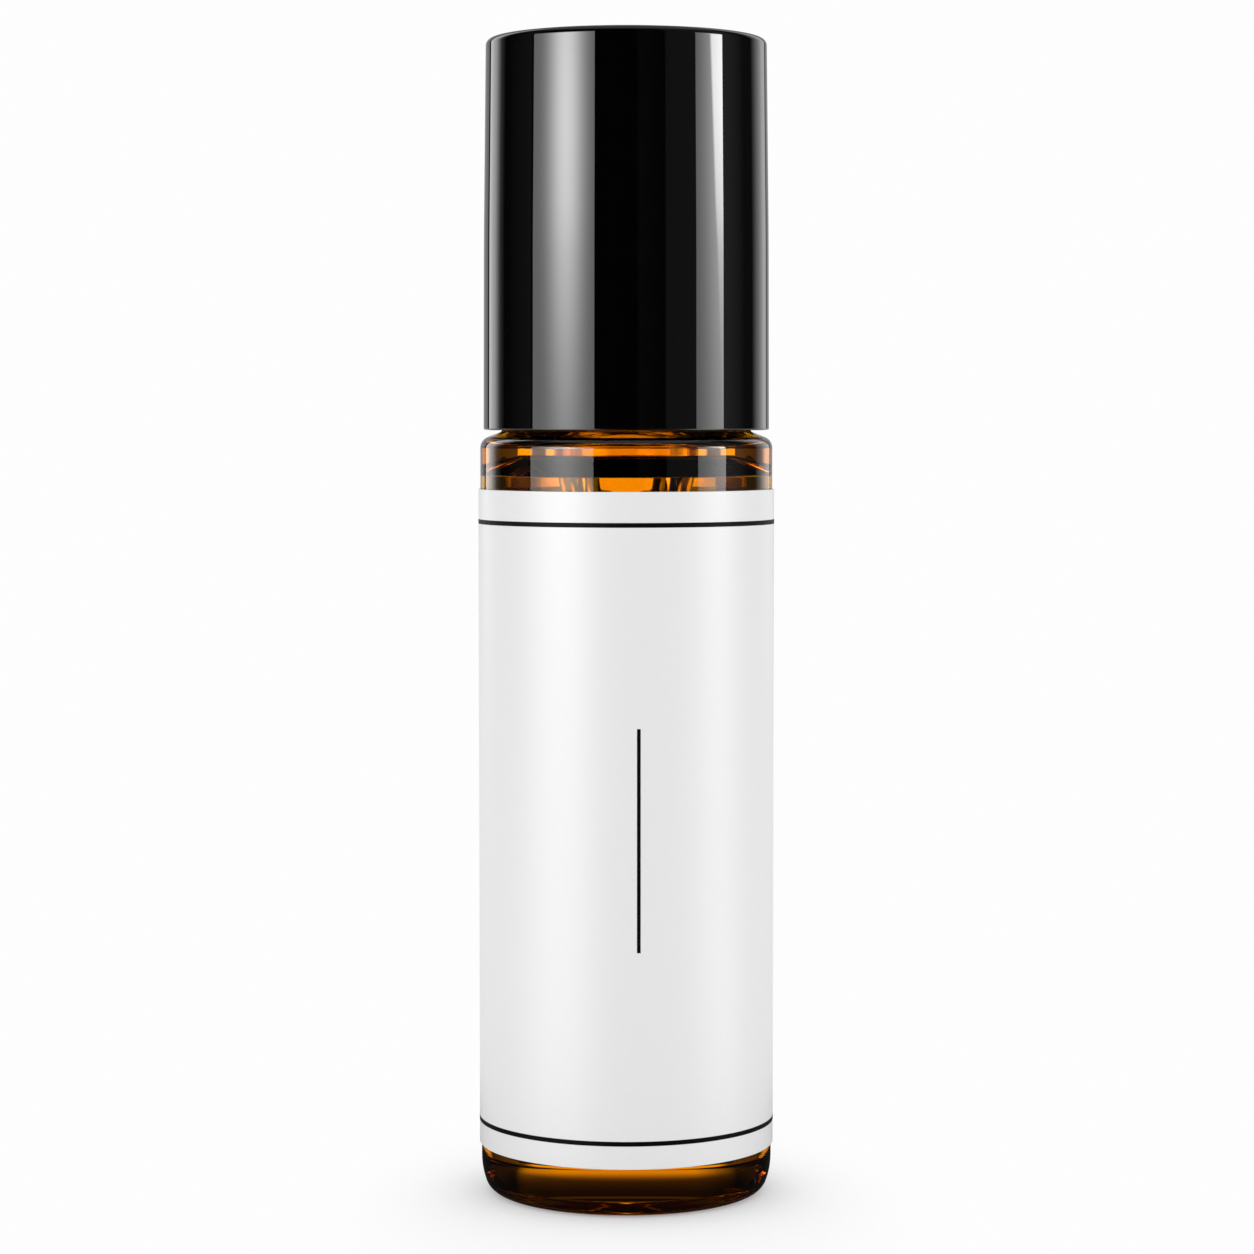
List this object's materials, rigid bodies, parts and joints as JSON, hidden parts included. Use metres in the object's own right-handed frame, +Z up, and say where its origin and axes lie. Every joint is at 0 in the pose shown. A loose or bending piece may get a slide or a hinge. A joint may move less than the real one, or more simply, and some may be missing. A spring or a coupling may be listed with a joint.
{
  "type": "roll-on bottle",
  "caption": "Slim amber glass roll-on bottle with a plain white wrap label, a press-in roller ball fitment and a glossy black screw cap.",
  "frame": {"origin": "on the floor under the bottle's axis, at the centre of the base", "axes": "+Z up along the bottle's axis to the cap, -Y towards the viewer and the front of the label, +X to the viewer's right"},
  "size_m": [0.0202, 0.0202, 0.079],
  "materials": {
    "amber_glass": "clear amber moulded glass, glossy",
    "label_white": "white matt label stock with fine black rules",
    "fitment_plastic": "natural translucent polyethylene, satin",
    "ball_steel": "polished stainless steel",
    "disc_foam": "white expanded polyethylene wad",
    "liner_plastic": "white polypropylene, satin",
    "cap_black": "high-gloss black moulded plastic"
  },
  "bodies": {
    "bottle": {"bottle": "amber_glass", "label": "label_white", "roller_housing": "fitment_plastic"},
    "ball": {"roller_ball": "ball_steel"},
    "disc": {"seal_disc": "disc_foam"},
    "cap": {"inner_cap": "liner_plastic", "cap_shell": "cap_black"}
  },
  "joints": [
    {"name": "ball_roll", "type": "hinge", "parent": "bottle", "child": "ball", "pos_m": [0, 0, 0.06189], "axis": [1, 0, 0], "continuous": true},
    {"name": "cap_lift", "type": "slide", "parent": "bottle", "child": "disc", "axis": [0, 0, 1], "range_m": [0, 0.018]},
    {"name": "cap_turn", "type": "hinge", "parent": "disc", "child": "cap", "pos_m": [0, 0, 0.05247], "axis": [0, 0, 1], "range_deg": [0, 2160]}
  ],
  "couplings": [
    {"joint": "cap_lift", "follows": "cap_turn", "m_per_rad": 0.00047746}
  ]
}
